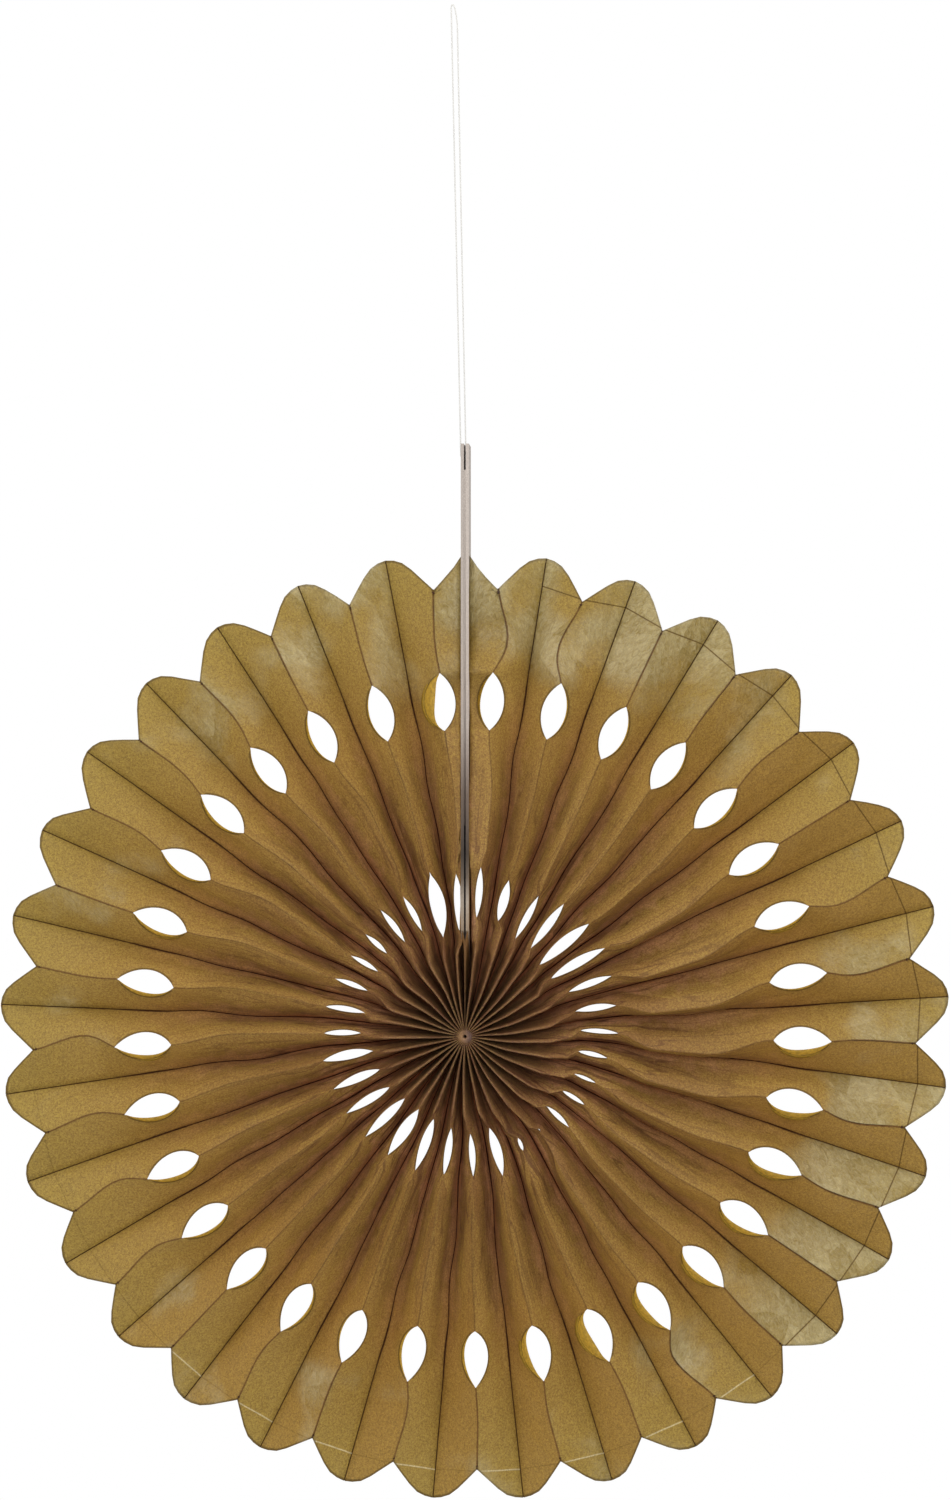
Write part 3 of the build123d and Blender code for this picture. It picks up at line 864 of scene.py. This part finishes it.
class ROSETTE_OT_stage(bpy.types.Operator):
    """Sets the camera, the soft studio light and the pale floor"""

    bl_idname = "rosette.stage"
    bl_label = "Stage"
    bl_options = {"REGISTER", "UNDO"}

    def execute(self, context):
        scene = context.scene
        azimuth, elevation, distance = math.radians(2.32), math.radians(1.70), 1.277
        target = Vector((0.0096, 0, -0.3154))
        back = Vector((
            math.sin(azimuth) * math.cos(elevation),
            -math.cos(azimuth) * math.cos(elevation),
            math.sin(elevation),
        ))
        camera = bpy.data.objects.new("camera", bpy.data.cameras.new("camera"))
        camera.data.sensor_width = 36
        camera.data.lens = 72
        camera.data.clip_start = 0.01
        stand_up(camera, target + back * distance, -back)
        scene.camera = camera
        scene.view_settings.view_transform = "Standard"

        for name, place, width, height, power in LAMPS:
            lamp = bpy.data.lights.new(name, "AREA")
            lamp.shape = "RECTANGLE"
            lamp.size = width
            lamp.size_y = height
            lamp.energy = power
            stand_up(bpy.data.objects.new(name, lamp), place, HUB - Vector(place))

        # the room is white to the eye and in reflections, and lights the fan more softly
        world = bpy.data.worlds.new("white_room")
        scene.world = world
        world.use_nodes = True
        world.node_tree.nodes.clear()
        node = partial(add_node, world)
        rays = node("LightPath").outputs
        seen = node("Math", {0: rays["Is Camera Ray"], 1: rays["Is Transmission Ray"]}, operation="MAXIMUM")
        shown = node("Math", {0: seen, 1: rays["Is Glossy Ray"]}, operation="MAXIMUM")
        strength = node("MapRange", {"Value": shown, "To Min": 0.62})
        light = node("Background", {"Color": (1, 1, 1, 1), "Strength": strength})
        node("OutputWorld", {"Surface": light})

        bm = bmesh.new()
        bmesh.ops.create_circle(bm, cap_ends=True, segments=96, radius=0.75)
        bmesh.ops.translate(bm, verts=bm.verts, vec=(0, 0, -0.95))
        floor = mesh_object("floor", bm, [white_paint()])
        return {"FINISHED"}


class ROSETTE_OT_thread(bpy.types.Operator):
    """Makes the white thread loop that the rosette hangs from"""

    bl_idname = "rosette.thread"
    bl_label = "Hanging Thread"
    bl_options = {"REGISTER", "UNDO"}

    def execute(self, context):
        # the points of the route, in millimetres, with one near each corner of the two long runs
        route = (
            (4.35, -191.4), (3.4, -191.4), (3.32, -187.8), (-0.62, -3.9), (-0.7, -0.3),
            (0.7, -0.3), (1.9, -7.8), (1.97, -11.4), (5.48, -187.8), (5.55, -191.4), (4.55, -191.4),
        )
        curve = bpy.data.curves.new("hanging_thread_cotton", "CURVE")
        curve.dimensions = "3D"
        curve.bevel_depth = context.scene.rosette_thread.thickness / 2
        curve.bevel_resolution = 3
        curve.resolution_u = 24
        curve.use_fill_caps = True
        spline = curve.splines.new("NURBS")
        spline.points.add(len(route) - 1)
        for point, (x, z) in zip(spline.points, route):
            point.co = (x * MM, 0, z * MM, 1)
        spline.order_u = 3
        spline.use_endpoint_u = True
        curve.materials.append(cotton_thread())
        thread = bpy.data.objects.new("hanging_thread_cotton", curve)
        context.scene.collection.objects.link(thread)
        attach(thread, "root")
        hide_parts("hanging_thread")
        return {"FINISHED"}


class ROSETTE_OT_fan(bpy.types.Operator):
    """Makes the tissue sheet: a flat grid, slit for its holes and folded into the rosette"""

    bl_idname = "rosette.fan"
    bl_label = "Tissue Fan"
    bl_options = {"REGISTER", "UNDO"}

    def execute(self, context):
        bm = slit_sheet()
        fold_sheet(bm)
        settings = context.scene.rosette_tissue
        finishes = [gold_tissue(settings), gold_tissue(settings, rear=True)]
        fan = finish_piece("tissue_fan_folded", bm, finishes)
        wall = fan.modifiers.new("Paper", "SOLIDIFY")
        wall.thickness = PAPER
        wall.material_offset = 1
        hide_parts("tissue_fan")
        return {"FINISHED"}


class ROSETTE_OT_hole_rims(bpy.types.Operator):
    """Makes the second ply's rim that shows as a golden crescent inside the outer holes"""

    bl_idname = "rosette.hole_rims"
    bl_label = "Hole Rims"
    bl_options = {"REGISTER", "UNDO"}

    def execute(self, context):
        start, length, _ = OUTER_HOLE
        beyond = 1.5
        bm = bmesh.new()
        uv = bm.loops.layers.uv.new("sheet")
        for number, crescent in enumerate(CRESCENTS):
            front = 2 * (number + 1)
            panel = front if crescent > 0 else front - 1
            deepest = 3.0 * abs(crescent)
            grid = bmesh.ops.create_grid(bm, x_segments=24, y_segments=3, size=0.5)["verts"]
            for vert in grid:
                radius = start - beyond + (length + 2 * beyond) * (vert.co.x + 0.5)
                part = min(1, max(0, (radius - start) / length))
                shown = deepest * math.sin(math.pi * part**1.3) ** 0.8
                reach = (-shown, -shown * 0.5, 0.3, 1.2)[round((vert.co.y + 0.5) * 3)]
                vert.co = rim_point(panel, radius, reach)
                for loop in vert.link_loops:
                    loop[uv].uv = (radius / UV_SIZE, 0.08)
        for face in bm.faces:
            face.smooth = True
        rims = finish_piece("tissue_hole_rims", bm, [single_ply_tissue()])
        wall = rims.modifiers.new("Paper", "SOLIDIFY")
        wall.thickness = PAPER
        return {"FINISHED"}


class ROSETTE_OT_core(bpy.types.Operator):
    """Makes the small pad where the pleats are gathered and tied, on both sides, with the eye through it"""

    bl_idname = "rosette.core"
    bl_label = "Gathered Core"
    bl_options = {"REGISTER", "UNDO"}

    def execute(self, context):
        bm = bmesh.new()
        pleats = PANELS // 2
        half = PLEAT_WIDTH / 2
        # from the wall of the eye, over the pad's crown, and down to where the pleats come out
        profile = ((0.68, 0.5), (0.68, half - 0.9), (0.85, half - 0.35), (1.4, half - 0.05), (2.1, half),
                   (2.9, half - 0.2), (3.7, half - 0.8), (4.1, half - 1.8))
        for side in (1, -1):
            verts = [bm.verts.new((radius, -side * depth, 0)) for radius, depth in profile]
            edges = [bm.edges.new(pair) for pair in zip(verts, verts[1:])]
            bmesh.ops.spin(
                bm, geom=verts + edges, cent=(0, 0, 0), axis=(0, 1, 0), angle=2 * math.pi,
                steps=6 * pleats, use_merge=True,
            )
        bmesh.ops.recalc_face_normals(bm, faces=bm.faces)
        for vert in bm.verts:
            radius = math.hypot(vert.co.x, vert.co.z)
            turn = math.atan2(vert.co.x, vert.co.z)
            crease = math.sin(pleats * turn + 1.1 * radius)
            vert.co.y *= 1 + 0.03 * crease * ease(radius, 0.9, 3.3)
        for face in bm.faces:
            face.smooth = True
        bmesh.ops.translate(bm, verts=bm.verts, vec=HUB / MM)
        finish_piece("tissue_gathered_core", bm, [gathered_tissue()])
        return {"FINISHED"}


class ROSETTE_OT_joining_tape(bpy.types.Operator):
    """Makes the narrow tape that holds the two card strips together, set back between their front edges"""

    bl_idname = "rosette.joining_tape"
    bl_label = "Joining Tape"
    bl_options = {"REGISTER", "UNDO"}

    def execute(self, context):
        width, depth, length = 0.8, 2 * (PLEAT_WIDTH / 2 - 0.3), 150
        top = -197
        bm = bmesh.new()
        bmesh.ops.create_cube(bm, size=1)
        bmesh.ops.scale(bm, vec=(width, depth, length), verts=bm.verts)
        long_edges = [edge for edge in bm.edges if abs(edge.verts[0].co.z - edge.verts[1].co.z) > 1]
        bmesh.ops.subdivide_edges(bm, edges=long_edges, cuts=48, use_grid_fill=True)
        # the tape narrows downward to about a third, and its cut edges wander
        for vert in bm.verts:
            down = 0.5 - vert.co.z / length
            vert.co.x *= 1 - 0.65 * down
            vert.co.x += 0.06 * noise.noise(Vector((vert.co.z / 7, math.copysign(5, vert.co.x), 0)))
            vert.co.y += 0.15 * noise.noise(Vector((vert.co.z / 9, math.copysign(5, vert.co.y), 9)))
        bmesh.ops.translate(bm, verts=bm.verts, vec=(HUB.x / MM, 0, top - length / 2))
        finish_piece("joining_tape", bm, [greyboard(1.0)])
        return {"FINISHED"}


class ROSETTE_OT_card(bpy.types.Operator):
    """Gives the two card strips and the tie their finish"""

    bl_idname = "rosette.card"
    bl_label = "Card Strips"
    bl_options = {"REGISTER", "UNDO"}

    def execute(self, context):
        # painted shade: the left strip gets a darker copy of the greyboard
        for name, finish in (
            ("card_strip_left", greyboard(0.84)),
            ("card_strip_right", greyboard(0.98)),
            ("centre_tie", cotton_thread()),
        ):
            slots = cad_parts[name].data.materials
            slots.clear()
            slots.append(finish)
        return {"FINISHED"}


STEPS = (ROSETTE_OT_stage, ROSETTE_OT_thread, ROSETTE_OT_fan, ROSETTE_OT_hole_rims, ROSETTE_OT_core,
         ROSETTE_OT_joining_tape, ROSETTE_OT_card)


class ROSETTE_PT_panel(bpy.types.Panel):
    """Lists the rosette's pieces"""

    bl_idname = "ROSETTE_PT_panel"
    bl_label = "Fan Rosette"
    bl_space_type = "VIEW_3D"
    bl_region_type = "UI"
    bl_category = "Rosette"

    def draw(self, context):
        layout = self.layout
        layout.prop(context.scene.rosette_tissue, "colour")
        layout.prop(context.scene.rosette_thread, "thickness")
        for step in STEPS:
            layout.operator(step.bl_idname)


CLASSES = (TissueSettings, ThreadSettings, *STEPS, ROSETTE_PT_panel)


def register():
    for made in CLASSES:
        bpy.utils.register_class(made)
    bpy.types.Scene.rosette_tissue = bpy.props.PointerProperty(type=TissueSettings)
    bpy.types.Scene.rosette_thread = bpy.props.PointerProperty(type=ThreadSettings)


def unregister():
    del bpy.types.Scene.rosette_tissue
    del bpy.types.Scene.rosette_thread
    for made in reversed(CLASSES):
        bpy.utils.unregister_class(made)


def main():
    """Registers the add-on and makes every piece."""
    register()
    bpy.ops.rosette.stage()
    bpy.ops.rosette.thread()
    bpy.ops.rosette.fan()
    bpy.ops.rosette.hole_rims()
    bpy.ops.rosette.core()
    bpy.ops.rosette.joining_tape()
    bpy.ops.rosette.card()


if __name__ == "__main__":
    main()
